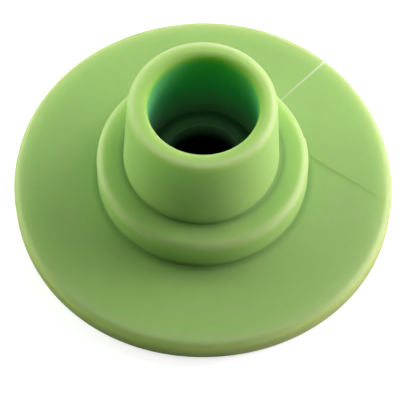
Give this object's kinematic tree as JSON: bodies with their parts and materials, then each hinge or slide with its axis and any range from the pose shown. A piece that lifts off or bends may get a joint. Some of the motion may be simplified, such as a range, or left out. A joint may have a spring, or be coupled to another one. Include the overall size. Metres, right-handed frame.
{
  "type": "flanged socket button",
  "caption": "Round soft flange with a low collar and a tapered, hollow neck; a hard ring at the foot of the neck's bore catches a headed pin pushed in through the flat back.",
  "frame": {"origin": "centre of the flat back face, on the axis", "axes": "+Z along the axis of symmetry, from the flat back towards the mouth of the neck"},
  "size_m": [0.03, 0.03, 0.0128],
  "materials": {
    "soft_green_elastomer": "matt, slightly translucent yellow-green moulded polyurethane",
    "hard_green_plastic": "satin dark green moulded plastic"
  },
  "bodies": {
    "root": {"soft_button": "soft_green_elastomer", "locking_ring": "hard_green_plastic"}
  },
  "joints": []
}
